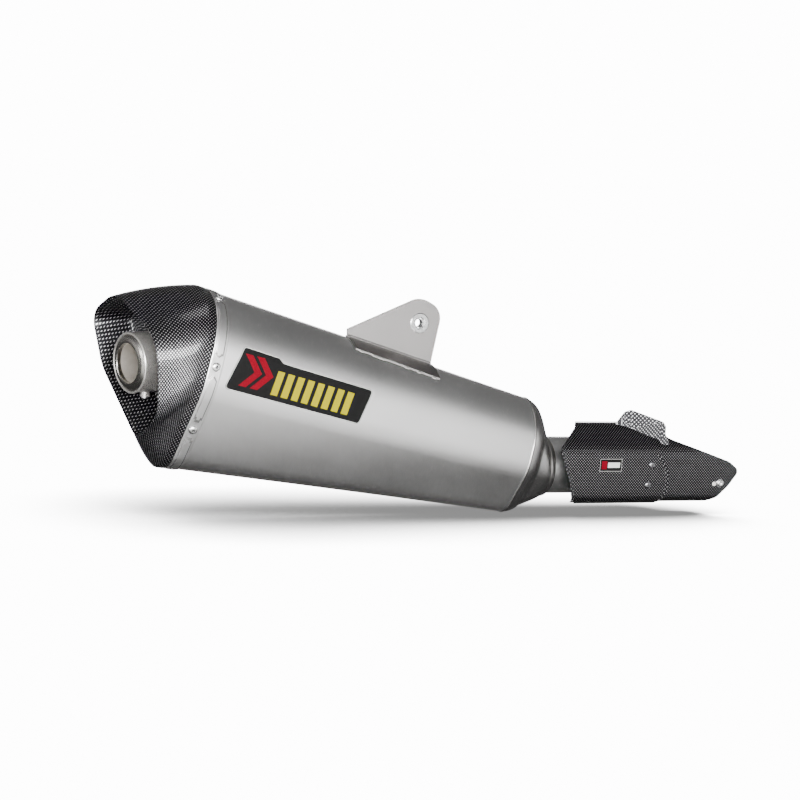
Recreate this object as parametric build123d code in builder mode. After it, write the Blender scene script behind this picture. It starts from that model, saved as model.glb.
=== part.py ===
from build123d import *
from math import cos, radians, sin
import os

# Motorcycle slip-on silencer with its link pipe and heat shield, in millimetres.
# Origin: centre of the inlet mouth. +X points out of the mouth, +Z up, -Y outboard.

# ---------------------------------------------------------------- driving dimensions
pipe_radius = 30.25          # 60.5 mm tube: link pipe and outlet
pipe_wall = 1.6
socket_radius = 30.25        # bore of the expanded inlet, slips over a 60 mm header pipe
socket_length = 40.0
socket_wall = 1.5
pipe_inner_end = -207.0      # end of the link pipe inside the body

body_pitch = radians(12.3)   # the body rises towards the rear
seam_x, seam_z = -182.0, 12.0    # centre of the body's front section
sleeve_length = 385.0
sleeve_wall = 1.2
band_width = 14.0
band_thickness = 1.0
cap_skirt = 9.0              # straight skirt of the carbon cap behind the band
cap_wall = 2.0
cap_bulge = 3.0              # the carbon cap swells by this much midway to its rim

rim_centre = Vector(-619.1, 0.0, 101.7)
rim_yaw = radians(12.5)      # the opening is turned outboard
rim_dip = radians(4.0)       # and tipped down
recess_depth = 38.0
recess_wall = 1.5
outlet_offset = (5.7, 1.6)   # outlet centre in the rim plane, outboard and up
outlet_length = 125.0
damper_radius = 20.0
damper_length = 85.0
damper_clearance = 0.15
screw_depth = 18.0           # retaining screw, behind the outlet's mouth

bracket_thickness = 2.5
bracket_bore = 4.25          # clearance bore for an M8 bolt
bracket_hole = (-299.7, 148.5)
shield_wall = 1.5
clamp_x = -14.0
gap = 0.05                   # between parts that are seated on each other

# Corners and corner radii of the body's section, outboard and up, seen from the rear.
# Order: top, outer shoulder, outer lower, bottom, inner lower, inner shoulder.
front_corners = [(-4, 69), (45, 36), (45.5, -14), (9, -80), (-40, -18), (-43, 36)]
front_radii = [34, 52, 48, 22, 34, 40]
rear_corners = [(-6, 92.5), (63.5, 66), (64.5, -10), (15, -122.5), (-60, -10), (-63, 62)]
rear_radii = [58, 58, 58, 24, 55, 44]
rim_corners = [(-19, 71.5), (60, 32), (59, -46), (18, -76), (-47, -7), (-66, 46)]
rim_radii = [38, 44, 34, 16, 55, 20]


# ---------------------------------------------------------------- places and outlines
def body_point(s, v, h):
    """Point s behind the front seam, v outboard and h up in the body's section."""
    x = seam_x - s * cos(body_pitch) + h * sin(body_pitch)
    z = seam_z + s * sin(body_pitch) + h * cos(body_pitch)
    return Vector(x, -v, z)


def station(s):
    """Section plane s behind the front seam: x is outboard, y is up, z is rearward."""
    rearward = (-cos(body_pitch), 0, sin(body_pitch))
    return Plane(origin=body_point(s, 0, 0), x_dir=(0, -1, 0), z_dir=rearward)


def outline(plane, corners, radii, grow=0.0):
    """Closed outline with an arc at each corner, grown outward by grow."""
    with BuildSketch(plane) as profile:
        with BuildLine():
            FilletPolyline(*corners, radius=radii, close=True)
        make_face()
        if grow:
            offset(amount=grow)
    return profile.sketch


def mix(a, b, t):
    return a + (b - a) * t


def mixed_shape(first, second, t):
    """Corners and radii at t between two sections, each given as its corners and radii."""
    corners = [(mix(a[0], b[0], t), mix(a[1], b[1], t)) for a, b in zip(first[0], second[0])]
    radii = [mix(a, b, t) for a, b in zip(first[1], second[1])]
    return corners, radii


def body_shape(s):
    """Corners and radii of the body's section s behind the front seam."""
    return mixed_shape((front_corners, front_radii), (rear_corners, rear_radii), s / sleeve_length)


def body_outline(s, grow=0.0):
    """The body's section s behind the front seam."""
    return outline(station(s), *body_shape(s), grow)


def body_solid(grow):
    """Solid of the body's outer shape from the seam to the cap's skirt, grown by grow."""
    with BuildPart() as solid:
        loft([body_outline(0, grow), body_outline(sleeve_length + cap_skirt, grow)], ruled=True)
    return solid.part


def ring_outline(x, radius):
    """Near circle round the pipe, with the same six corners as the body's section."""
    normals = [122, 60, 0, -32, -142, -180]
    corners = []
    for before, after in zip(normals, normals[1:] + [-238]):
        middle = radians((before + after) / 2)
        reach = radius / cos(radians(before - after) / 2)
        corners.append((reach * cos(middle), reach * sin(middle)))
    plane = Plane(origin=(x, 0, 0), x_dir=(0, -1, 0), z_dir=(-1, 0, 0))
    return outline(plane, corners, [0.96 * radius] * 6)


def turned(points, plane, axis):
    """Solid of revolution from a closed profile in plane."""
    with BuildPart() as solid:
        with BuildSketch(plane):
            with BuildLine():
                Polyline(*points, close=True)
            make_face()
        revolve(axis=axis)
    return solid.part


def piece(item, name):
    """Name a finished piece and write it."""
    item.part.label = name
    export_step(item.part, f"parts/{name}.step")


os.makedirs("parts", exist_ok=True)

outward = Vector(-cos(rim_dip) * cos(rim_yaw), -cos(rim_dip) * sin(rim_yaw), -sin(rim_dip))
rim_across = Vector(sin(rim_yaw), -cos(rim_yaw), 0)
rim_up = outward.cross(rim_across)
rim_plane = Plane(origin=rim_centre, x_dir=rim_across, z_dir=outward)
outlet_centre = rim_centre + rim_across * outlet_offset[0] + rim_up * outlet_offset[1]
outlet_axis = Axis(outlet_centre, outward)
outlet_profile = Plane(origin=outlet_centre, x_dir=rim_across, z_dir=rim_up * -1)
pipe_axis = Axis((0, 0, 0), (1, 0, 0))
pipe_profile = Plane(origin=(0, 0, 0), x_dir=(0, 0, 1), z_dir=(0, 1, 0))  # x is up, y is +X


def outlet_point(inward):
    """Point on the outlet's axis, inward from its mouth."""
    return outlet_centre - outward * inward


def cap_outline(t, skirt_grow, rim_grow):
    """The carbon cap's section, t from 0 at its skirt to 1 at its rim."""
    skirt = station(sleeve_length + cap_skirt)
    plane = Plane(origin=mix(skirt.origin, rim_plane.origin, t),
                  x_dir=mix(skirt.x_dir, rim_plane.x_dir, t),
                  z_dir=mix(skirt.z_dir, rim_plane.z_dir, t))
    corners, radii = mixed_shape(body_shape(sleeve_length + cap_skirt), (rim_corners, rim_radii), t)
    return outline(plane, corners, radii, mix(skirt_grow, rim_grow, t) + 4 * cap_bulge * t * (1 - t))


def outlet_rod(radius, first, last):
    """Cylinder on the outlet's axis between two depths behind the mouth."""
    with BuildPart() as solid:
        with BuildSketch(Plane(origin=outlet_point(last), x_dir=rim_across, z_dir=outward)):
            Circle(radius)
        extrude(amount=last - first)
    return solid.part


def pipe_rod(radius, first_x, last_x):
    """Cylinder on the link pipe's axis."""
    with BuildPart() as solid:
        with BuildSketch(Plane(origin=(first_x, 0, 0), z_dir=(1, 0, 0))):
            Circle(radius)
        extrude(amount=last_x - first_x)
    return solid.part


body_outer = body_solid(0)
body_seat = body_solid(gap)
body_inner = body_solid(-sleeve_wall)

# Six rivets through the band, one on each flat side of the section: in its middle, and on the
# upper outboard side nearer to the outer shoulder.
rivet_s = sleeve_length - band_width / 2
band_outer = body_solid(band_thickness)
rivet_planes = []
for side in body_outline(rivet_s, band_thickness).edges().filter_by(GeomType.LINE):
    spot = side @ 0.5
    if spot.Y < 0 and spot.Z > seam_z + 150:
        spot = min(side @ 0.1, side @ 0.9, key=lambda place: place.Z)
    seat = band_outer.faces().sort_by_distance(spot)[0]
    rivet_planes.append(Plane(origin=spot, z_dir=seat.normal_at(spot)))
rivet_shank = 1.6

# ---------------------------------------------------------------- body
with BuildPart() as sleeve:
    add(body_outer)
    add(body_inner, mode=Mode.SUBTRACT)
    split(bisect_by=station(sleeve_length - 2), keep=Keep.BOTTOM)
    with Locations(*[plane.offset(4) for plane in rivet_planes]):
        Hole(rivet_shank + gap, depth=14)
piece(sleeve, "outer_sleeve")

cap_front_x = -152.0         # where the cap meets the collar weld
cap_metal = 1.5
cap_steps = [(0, 0), (-4, -0.8), (-8, -2.4), (-11.5, -4.6), (-14.5, -7.5)]   # station and inset
with BuildPart() as front_cap:
    shoulder = [body_outline(s - gap, grow) for s, grow in cap_steps]
    loft(shoulder + [ring_outline(cap_front_x, pipe_radius + 2.6)], ruled=True)
    hollow = [body_outline(s - gap, grow - cap_metal) for s, grow in cap_steps]
    throat = ring_outline(cap_front_x - 0.5, pipe_radius + 2.6 - cap_metal)
    loft(hollow + [throat], ruled=True, mode=Mode.SUBTRACT)
    add(pipe_rod(pipe_radius + gap, -182, -132), mode=Mode.SUBTRACT)
piece(front_cap, "front_cap")

with BuildPart() as seam_weld:
    add(body_solid(0.8))
    add(body_seat, mode=Mode.SUBTRACT)
    split(bisect_by=station(2.8), keep=Keep.BOTTOM)
piece(seam_weld, "seam_weld")

with BuildPart() as link_pipe:
    taper_end = -socket_length - 6
    inner = pipe_radius - pipe_wall
    profile = [
        (inner, pipe_inner_end), (pipe_radius, pipe_inner_end), (pipe_radius, taper_end),
        (socket_radius + socket_wall, -socket_length), (socket_radius + socket_wall, 0),
        (socket_radius, 0), (socket_radius, -socket_length), (inner, taper_end),
    ]
    add(turned(profile, pipe_profile, pipe_axis))
    with BuildSketch(Plane(origin=(1, 0, 0), z_dir=(1, 0, 0))):
        Rectangle(1.8, 90)
        Rectangle(90, 1.8)
    extrude(amount=-32, mode=Mode.SUBTRACT)
piece(link_pipe, "link_pipe")

with BuildPart() as collar_weld:
    ring = [
        (pipe_radius + gap, cap_front_x + 0.2), (pipe_radius + 3.4, cap_front_x + 0.2),
        (pipe_radius + 2.6, cap_front_x + 4), (pipe_radius + gap, cap_front_x + 7),
    ]
    add(turned(ring, pipe_profile, pipe_axis))
piece(collar_weld, "collar_weld")

with BuildPart() as end_band:
    add(band_outer)
    add(body_seat, mode=Mode.SUBTRACT)
    split(bisect_by=station(sleeve_length), keep=Keep.BOTTOM)
    split(bisect_by=station(sleeve_length - band_width), keep=Keep.TOP)
    with Locations(*[plane.offset(4) for plane in rivet_planes]):
        Hole(rivet_shank + gap, depth=14)
piece(end_band, "end_band")

rivet = turned(
    [(0, -6), (rivet_shank, -6), (rivet_shank, gap), (4.6, gap), (4.3, 1), (2.8, 1.8), (0, 2)],
    Plane.XZ, Axis.Z)
with BuildPart() as band_rivets:
    with Locations(*rivet_planes):
        add(rivet)
piece(band_rivets, "band_rivets")

# ---------------------------------------------------------------- carbon end cap
with BuildPart() as end_cap:
    skirt_end = sleeve_length + cap_skirt
    inset = -sleeve_wall - 0.5
    spigot_grow = -sleeve_wall - 0.15
    cap_stations = (0, 0.25, 0.5, 0.75, 1)
    outer = [cap_outline(t, band_thickness, 0) for t in cap_stations]
    loft([body_outline(sleeve_length + gap, band_thickness)] + outer, ruled=True)
    inside = [cap_outline(t, inset, -cap_wall) for t in cap_stations]
    loft([body_outline(sleeve_length + gap, inset)] + inside, ruled=True, mode=Mode.SUBTRACT)
    # spigot that sits inside the sleeve, under the band
    spigot = [body_outline(sleeve_length - band_width, spigot_grow), body_outline(skirt_end, spigot_grow)]
    loft(spigot, ruled=True)
    bore = [body_outline(sleeve_length - band_width - 1, spigot_grow - 1.6),
            body_outline(skirt_end + 1, spigot_grow - 1.6)]
    loft(bore, ruled=True, mode=Mode.SUBTRACT)
    with Locations(*[plane.offset(4) for plane in rivet_planes]):
        Hole(rivet_shank + gap, depth=14)
piece(end_cap, "end_cap_shell")

floor_inset = -14.0
floor_plane = rim_plane.offset(-recess_depth)
with BuildPart() as recess:
    liner_edge = outline(rim_plane, rim_corners, rim_radii, -cap_wall - gap)
    liner_floor = outline(floor_plane, rim_corners, rim_radii, floor_inset)
    loft([liner_edge, liner_floor], ruled=True)
    mouth = outline(rim_plane.offset(0.1), rim_corners, rim_radii, -cap_wall - recess_wall)
    deep = outline(rim_plane.offset(recess_wall - recess_depth), rim_corners, rim_radii,
                   floor_inset - recess_wall)
    loft([mouth, deep], ruled=True, mode=Mode.SUBTRACT)
    add(outlet_rod(pipe_radius + 0.4, 0, 60), mode=Mode.SUBTRACT)
piece(recess, "recess_liner")

# ---------------------------------------------------------------- outlet and noise damper
lip_radius = pipe_radius + 0.4
with BuildPart() as outlet:
    inner = pipe_radius - pipe_wall
    profile = [
        (inner, -outlet_length), (pipe_radius, -outlet_length), (pipe_radius, -2.6),
        (lip_radius, -2), (lip_radius, -0.8), (lip_radius - 0.5, -0.1), (lip_radius - 0.9, 0),
        (inner + 0.6, 0), (inner, -0.6),
    ]
    add(turned(profile, outlet_profile, outlet_axis))
    screw_plane = Plane(origin=outlet_point(screw_depth), x_dir=outward, z_dir=rim_up * -1)
    with BuildSketch(screw_plane):
        Circle(2.6)
    extrude(amount=40, mode=Mode.SUBTRACT)
piece(outlet, "outlet_tube")

with BuildPart() as boss:
    with BuildSketch(screw_plane.offset(pipe_radius - 3)):
        Circle(5)
    extrude(amount=7.5)
    add(outlet_rod(pipe_radius + gap, 0, 30), mode=Mode.SUBTRACT)
    with BuildSketch(screw_plane):
        Circle(2.05)
    extrude(amount=50, mode=Mode.SUBTRACT)
piece(boss, "screw_boss")

damper_bore = pipe_radius - pipe_wall - damper_clearance   # outer radius of the damper's seats
tube_radius = damper_radius + 1.2
plate_depth = 2.5            # the damper's nose plate, its tube starts behind it
with BuildPart() as damper_flange:
    profile = [
        (damper_bore, -26), (damper_bore, -1.3), (damper_bore - 1, -0.3), (25.5, 1.2), (22.5, 2.1),
        (20.8, 2.3), (20.2, 2), (damper_radius, 1.4), (damper_radius, -plate_depth),
        (tube_radius + gap, -plate_depth), (tube_radius + gap, -9), (tube_radius + 1.2, -9),
        (tube_radius + 1.2, -1), (damper_bore - 1.2, -1.8), (damper_bore - 1.2, -26),
    ]
    add(turned(profile, outlet_profile, outlet_axis))
piece(damper_flange, "damper_flange")

with BuildPart() as damper_tube:
    first, last = plate_depth + gap, damper_length
    tube = [(tube_radius, -first), (tube_radius, -last), (damper_radius, -last), (damper_radius, -first)]
    add(turned(tube, outlet_profile, outlet_axis))
    damper_holes = []
    for ring_depth in range(36, 79, 12):
        for turn in range(4):
            spoke = rim_across.rotate(Axis((0, 0, 0), outward), 45 * turn)
            damper_holes.append(Plane(origin=outlet_point(ring_depth), z_dir=spoke))
    with Locations(*damper_holes):
        Cylinder(2.2, 60, mode=Mode.SUBTRACT)
piece(damper_tube, "damper_tube")

with BuildPart() as damper_ring:
    first, last, bore = damper_length - 3, damper_length, tube_radius + gap
    ring = [(damper_bore, -first), (damper_bore, -last), (bore, -last), (bore, -first)]
    add(turned(ring, outlet_profile, outlet_axis))
piece(damper_ring, "damper_end_ring")

with BuildPart() as damper_screw:
    with BuildSketch(screw_plane.offset(pipe_radius - pipe_wall + 0.35)):
        Circle(1.98)
    extrude(amount=8)
    with BuildSketch(screw_plane.offset(pipe_radius + 4.5 + gap)):
        Circle(3.9)
    extrude(amount=2.4)
    crown = damper_screw.faces().sort_by(Axis(outlet_centre, rim_up * -1))[-1]
    fillet(crown.edges(), 1.2)
    with BuildSketch(screw_plane.offset(pipe_radius + 5.6)):
        RegularPolygon(1.5, 6)
    extrude(amount=4, mode=Mode.SUBTRACT)
piece(damper_screw, "damper_screw")

# ---------------------------------------------------------------- inside the body
bulkhead_s = sleeve_length - band_width - 8
bulkhead_grow = -sleeve_wall - 0.15
with BuildPart() as rear_bulkhead:
    disc = [body_outline(bulkhead_s + step, bulkhead_grow) for step in (0, 7.5)]
    loft(disc, ruled=True)
    cup = [body_outline(bulkhead_s + step, bulkhead_grow - 1.5) for step in (1.5, 8)]
    loft(cup, ruled=True, mode=Mode.SUBTRACT)
    add(outlet_rod(pipe_radius + gap, 20, 140), mode=Mode.SUBTRACT)
piece(rear_bulkhead, "rear_bulkhead")

with BuildPart() as front_bulkhead:
    loft([body_outline(6, bulkhead_grow), body_outline(13.5, bulkhead_grow)], ruled=True)
    cup = [body_outline(5, bulkhead_grow - 1.5), body_outline(12, bulkhead_grow - 1.5)]
    loft(cup, ruled=True, mode=Mode.SUBTRACT)
    add(pipe_rod(pipe_radius + gap, -242, -162), mode=Mode.SUBTRACT)
piece(front_bulkhead, "front_bulkhead")

core_radius = pipe_radius - pipe_wall - 0.2
core_bend = 60.0
core_route = [Vector(-194, 0, 0), Vector(-227, 0, 0), outlet_point(144), outlet_point(108)]
core_run = (core_route[2] - core_route[1]).normalized()
perforation_pitch = 11.0
with BuildPart() as core:
    with BuildLine() as route:
        FilletPolyline(*core_route, radius=core_bend)
    with BuildSketch(Plane(origin=core_route[0], z_dir=(-1, 0, 0))):
        Circle(core_radius)
        Circle(core_radius - 1.0, mode=Mode.SUBTRACT)
    sweep(path=route.wire())
    perforations = []
    for step in range(20):
        place = core_route[1] + core_run * (28 + perforation_pitch * step)
        for turn in range(6):
            spoke = Vector(0, 1, 0).cross(core_run).rotate(Axis((0, 0, 0), core_run), 30 * turn)
            perforations.append(Plane(origin=place, z_dir=spoke))
    with Locations(*perforations):
        Cylinder(2.2, 2 * core_radius + 4, mode=Mode.SUBTRACT)
piece(core, "perforated_core")

with BuildPart() as packing_way:
    with BuildLine() as way:
        FilletPolyline(*core_route, radius=core_bend)
    with BuildSketch(Plane(origin=core_route[0], z_dir=(-1, 0, 0))):
        Circle(core_radius + 0.4)
    sweep(path=way.wire())
with BuildPart() as packing:
    loft([body_outline(s, bulkhead_grow - 0.5) for s in (14, bulkhead_s - 0.5)], ruled=True)
    add(packing_way.part, mode=Mode.SUBTRACT)
    add(pipe_rod(pipe_radius + 0.5, pipe_inner_end - 1, -162), mode=Mode.SUBTRACT)
    add(outlet_rod(pipe_radius + 0.5, 40, outlet_length + 1), mode=Mode.SUBTRACT)
piece(packing, "acoustic_packing")

# ---------------------------------------------------------------- hanger bracket
foot_first, foot_last, foot_reach, foot_thickness = 120.0, 221.0, 30.0, 1.6
plate_corners = [(-381, 141), (-300, 176), (-274, 163), (-284, 108), (-282, 96), (-380, 126)]
with BuildPart() as bracket:
    add(body_solid(foot_thickness))
    with BuildSketch(station(foot_first)):
        with Locations(((foot_reach - bracket_thickness) / 2, 70)):
            Rectangle(foot_reach + bracket_thickness, 100)
    extrude(amount=foot_last - foot_first, mode=Mode.INTERSECT)
    with BuildSketch(Plane(origin=(0, bracket_thickness, 0), x_dir=(1, 0, 0), z_dir=(0, -1, 0))):
        with BuildLine():
            FilletPolyline(*plate_corners, radius=[1, 22, 18, 1, 1, 1], close=True)
        make_face()
        with Locations(bracket_hole):
            Circle(7.6, mode=Mode.SUBTRACT)
    extrude(amount=bracket_thickness)
    add(body_seat, mode=Mode.SUBTRACT)
piece(bracket, "hanger_bracket")

bush_axis = Axis((bracket_hole[0], 0, bracket_hole[1]), (0, 1, 0))
bush_plane = Plane(origin=(bracket_hole[0], 0, bracket_hole[1]), x_dir=(1, 0, 0), z_dir=(0, 0, 1))
with BuildPart() as bush:
    ring = [
        (bracket_bore, 1.6), (5.6, 0.4), (6.4, -1.1), (9.6, -1.1), (10.6, -0.4), (10.6, -gap),
        (7.5, -gap), (7.5, bracket_thickness + 7), (bracket_bore, bracket_thickness + 7),
    ]
    add(turned(ring, bush_plane, bush_axis))
piece(bush, "bracket_bush")

weld_runs = [(125, 4), (143, 4), (158, 4), (186, 15), (212, 4)]   # start and length along the body
with BuildPart() as foot_welds:
    for weld_s, weld_length in weld_runs:
        with BuildSketch(station(weld_s)):
            with Locations((foot_reach + 0.2, 60 + 0.055 * weld_s)):
                Rectangle(1.8, 60)
        extrude(amount=weld_length)
    add(body_solid(1.3), mode=Mode.INTERSECT)
    add(body_seat, mode=Mode.SUBTRACT)
    add(bracket.part, mode=Mode.SUBTRACT)
piece(foot_welds, "bracket_welds")

# ---------------------------------------------------------------- heat shield
# Open section round the outboard side of the pipe, (y, z), and its corner radii.
shield_section = [(7, 46), (-21, 48), (-45, 21), (-42.5, -36), (-10, -39)]
shield_radii = [15, 24, 10]
rear_outline = [(-121, 60), (-121, 44), (-147, 22), (-133, -14), (-128, -45), (-44, -45),
                (-16, -30), (-15, -6), (-29, 20), (-13, 60)]
rear_edge_radii = [1, 2, 7, 8, 1, 1, 14, 14, 10, 1]
nose_outline = [(-56, 60), (-56, -45), (16, -42), (47, -31), (61, -18), (73.5, -1), (60, 9),
                (-12, 33), (-42, 60)]
nose_edge_radii = [1, 1, 30, 20, 20, 6, 20, 30, 1]


def shield_sheet(thickness):
    """Bent sheet along the pipe, its outer face on the shield's section."""
    with BuildPart() as sheet:
        with BuildSketch(Plane(origin=(-162, 0, 0), x_dir=(0, 1, 0), z_dir=(1, 0, 0))):
            with BuildLine():
                FilletPolyline(*shield_section, radius=shield_radii)
                offset(amount=thickness, side=Side.LEFT)
            make_face()
        extrude(amount=260)
    return sheet.part


def side_cut(corners, radii):
    """Prism of a side-view outline, through the whole shield."""
    with BuildPart() as prism:
        with BuildSketch(Plane(origin=(0, 40, 0), x_dir=(1, 0, 0), z_dir=(0, -1, 0))):
            with BuildLine():
                FilletPolyline(*corners, radius=radii, close=True)
            make_face()
        extrude(amount=120)
    return prism.part


rear_cut = side_cut(rear_outline, rear_edge_radii)
nose_cut = side_cut(nose_outline, nose_edge_radii)
rear_sheet = shield_sheet(shield_wall)
under_rear = shield_sheet(shield_wall + 0.2)
nose_sheet = shield_sheet(2 * shield_wall + 0.2)

# Fasteners sit on the flat outboard side, which leans by side_lean.
side_top, side_foot = shield_section[2], shield_section[3]
side_lean = (side_foot[0] - side_top[0]) / (side_top[1] - side_foot[1])


def side_plane(x, z, inset=0.0):
    """Plane on the shield's flat side, facing outboard."""
    y = side_top[0] + (side_top[1] - z) * side_lean + inset
    return Plane(origin=(x, y, z), x_dir=(1, 0, 0), z_dir=Vector(0, -1, -side_lean).normalized())


shield_rivet_planes = [side_plane(-37, 5.5), side_plane(-40, -16)]
nose_inset = shield_wall + 0.2
nose_screw_plane = side_plane(50, -14.5, nose_inset)
nose_rivet_plane = side_plane(43.2, -15.5, nose_inset)

wing_yaw = radians(18.5)
wing_plane = Plane(origin=(-17, -38.6, 0), x_dir=(cos(wing_yaw), -sin(wing_yaw), 0),
                   z_dir=(-sin(wing_yaw), -cos(wing_yaw), 0))
wing_corners = [(-60, 43), (-48, 60), (-41, 62.5), (-5, 51), (-2, 46), (-2, 38), (3, 27), (-12, 26),
                (-46, 38)]
wing_radii = [1, 3, 4, 4, 2, 3, 1, 4, 4]

top_trim = [(-135, -21), (-121, -21), (-104, 10), (-135, 10)]
foot_trim = [(-145, -43), (-128, -43), (-110, -8), (-145, -8)]
with BuildPart() as shield_rear:
    add(rear_sheet)
    add(rear_cut, mode=Mode.INTERSECT)
    # the rear edge runs forward over the top and under the foot
    for level, trim in ((36, top_trim), (-60, foot_trim)):
        with BuildSketch(Plane.XY.offset(level)):
            with BuildLine():
                Polyline(*trim, close=True)
            make_face()
        extrude(amount=25, mode=Mode.SUBTRACT)
    with BuildSketch(wing_plane):
        with BuildLine():
            FilletPolyline(*wing_corners, radius=wing_radii, close=True)
        make_face()
    extrude(amount=-shield_wall)
    with Locations(*shield_rivet_planes):
        Hole(2.1, depth=8)
piece(shield_rear, "shield_rear_panel")

with BuildPart() as shield_nose:
    add(nose_sheet)
    add(under_rear, mode=Mode.SUBTRACT)
    add(nose_cut, mode=Mode.INTERSECT)
    add(shield_rear.part, mode=Mode.SUBTRACT)
    with Locations(*shield_rivet_planes):
        Hole(2.1, depth=8)
    with Locations(nose_screw_plane):
        Hole(2.2, depth=8)
    with Locations(nose_rivet_plane):
        Hole(1.7, depth=8)
piece(shield_nose, "shield_nose_panel")


def standoff(first_x, face_y, seat_radius):
    """Folded strap from the pipe out to the shield's inner face."""
    with BuildPart() as strap:
        with BuildSketch(Plane(origin=(first_x, 0, 0), x_dir=(0, 1, 0), z_dir=(1, 0, 0))):
            with BuildLine():
                Polyline((-18, -24), (face_y, -24), (face_y, 12), (-18, 12))
                offset(amount=1.5, side=Side.RIGHT)
            make_face()
        extrude(amount=14)
        add(pipe_rod(seat_radius + gap, first_x - 1, first_x + 15), mode=Mode.SUBTRACT)
    return strap.part


with BuildPart() as front_standoff:
    add(standoff(-46, -39.7, socket_radius + socket_wall))
    with Locations(*shield_rivet_planes):
        Hole(2.1, depth=12)
piece(front_standoff, "shield_standoff_front")

with BuildPart() as rear_standoff:
    add(standoff(-116, -41.2, pipe_radius))
piece(rear_standoff, "shield_standoff_rear")

shield_rivet = turned(
    [(0, -6.2), (2, -6.2), (2, gap), (3.8, gap), (3.5, 0.9), (2.3, 1.6), (0, 1.8)], Plane.XZ, Axis.Z)
with BuildPart() as shield_rivets:
    with Locations(*shield_rivet_planes):
        add(shield_rivet)
piece(shield_rivets, "shield_rivets")

with BuildPart() as nose_screw:
    with BuildSketch(nose_screw_plane.offset(1.05)):
        Circle(3.8)
    extrude(amount=2.2)
    fillet(nose_screw.faces().sort_by(Axis.Y)[0].edges(), 1.2)
    with BuildSketch(nose_screw_plane.offset(1.9)):
        RegularPolygon(1.45, 6)
    extrude(amount=4, mode=Mode.SUBTRACT)
    with BuildSketch(nose_screw_plane.offset(1.1)):
        Circle(1.95)
    extrude(amount=-10)
piece(nose_screw, "nose_screw")

with BuildPart() as nose_washer:
    with BuildSketch(nose_screw_plane.offset(gap)):
        Circle(4.3)
        Circle(2.15, mode=Mode.SUBTRACT)
    extrude(amount=0.9)
piece(nose_washer, "nose_washer")

with BuildPart() as nose_nut:
    with BuildSketch(nose_screw_plane.offset(-shield_wall - gap)):
        Circle(4.3)
        Circle(2.0, mode=Mode.SUBTRACT)
    extrude(amount=-1.0)
    with BuildSketch(nose_screw_plane.offset(-shield_wall - 1.0)):
        RegularPolygon(4.04, 6)
        Circle(2.0, mode=Mode.SUBTRACT)
    extrude(amount=-4)
piece(nose_nut, "nose_flange_nut")

nose_rivet_profile = [
    (0, -2.5), (2.3, -2.5), (2.3, -1.55), (1.65, -1.55), (1.65, 0.05), (2.4, 0.05), (2.2, 0.6), (0, 0.8)]
with BuildPart() as nose_rivet:
    with Locations(nose_rivet_plane):
        add(turned(nose_rivet_profile, Plane.XZ, Axis.Z))
piece(nose_rivet, "nose_rivet")

# ---------------------------------------------------------------- pipe clamp
clamp_bore = socket_radius + socket_wall + 0.3
clamp_width, clamp_gap, ear_wall, ear_tip, bolt_y = 14.0, 6.0, 2.4, 48.5, 41.0
ear_middle = (clamp_gap + ear_wall) / 2
with BuildPart() as clamp:
    with BuildSketch(Plane(origin=(clamp_x - clamp_width / 2, 0, 0), x_dir=(0, 1, 0), z_dir=(1, 0, 0))):
        Circle(clamp_bore + 1.2)
        with Locations(((clamp_bore + ear_tip) / 2, ear_middle), ((clamp_bore + ear_tip) / 2, -ear_middle)):
            Rectangle(ear_tip - clamp_bore, ear_wall)
        Circle(clamp_bore, mode=Mode.SUBTRACT)
        with Locations((clamp_bore, 0)):
            Rectangle(12, clamp_gap, mode=Mode.SUBTRACT)
    extrude(amount=clamp_width)
    with Locations(Plane(origin=(clamp_x, bolt_y, 10), z_dir=(0, 0, 1))):
        Hole(3.3, depth=20)
piece(clamp, "pipe_clamp")

ear_face = clamp_gap / 2 + ear_wall + gap
bolt_seat = Plane(origin=(clamp_x, bolt_y, ear_face), z_dir=(0, 0, 1))
with BuildPart() as clamp_bolt:
    with BuildSketch(bolt_seat):
        Circle(5)
    extrude(amount=6)
    fillet(clamp_bolt.faces().sort_by(Axis.Z)[-1].edges(), 0.8)
    with BuildSketch(bolt_seat.offset(3)):
        RegularPolygon(2.9, 6)
    extrude(amount=4, mode=Mode.SUBTRACT)
    with BuildSketch(bolt_seat):
        Circle(3)
    extrude(amount=-20)
piece(clamp_bolt, "clamp_bolt")

with BuildPart() as clamp_nut:
    with BuildSketch(Plane(origin=(clamp_x, bolt_y, -ear_face), z_dir=(0, 0, -1))):
        RegularPolygon(5.7, 6)
        Circle(3.06, mode=Mode.SUBTRACT)
    extrude(amount=5)
piece(clamp_nut, "clamp_nut")

# ---------------------------------------------------------------- label plates
label_wall = 0.3
label_corners = [(-352.5, 41.5), (-312, 38.8), (-306.5, 34.6), (-201, 30), (-208.8, -7.7), (-364.5, -4.5)]
label_radii = [4, 4, 4, 4, 4, 4]
forward = (cos(body_pitch), 0, -sin(body_pitch))
beside_body = Plane(origin=body_point(0, 0, 0), x_dir=forward, z_dir=(0, -1, 0))
with BuildPart() as sleeve_label:
    with BuildSketch(beside_body):
        with BuildLine():
            FilletPolyline(*label_corners, radius=label_radii, close=True)
        make_face()
    extrude(amount=90)
    add(body_solid(gap + label_wall), mode=Mode.INTERSECT)
    add(body_seat, mode=Mode.SUBTRACT)
piece(sleeve_label, "label_plate_large")

with BuildPart() as shield_label:
    with BuildSketch(side_plane(-87, 5.5).offset(gap)):
        RectangleRounded(27, 14, 1)
    extrude(amount=label_wall)
piece(shield_label, "label_plate_small")
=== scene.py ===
from math import atan2, cos, hypot, pi, radians, sin, tan

import bmesh
import bpy
import numpy as np
from mathutils import Matrix, Vector


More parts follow.
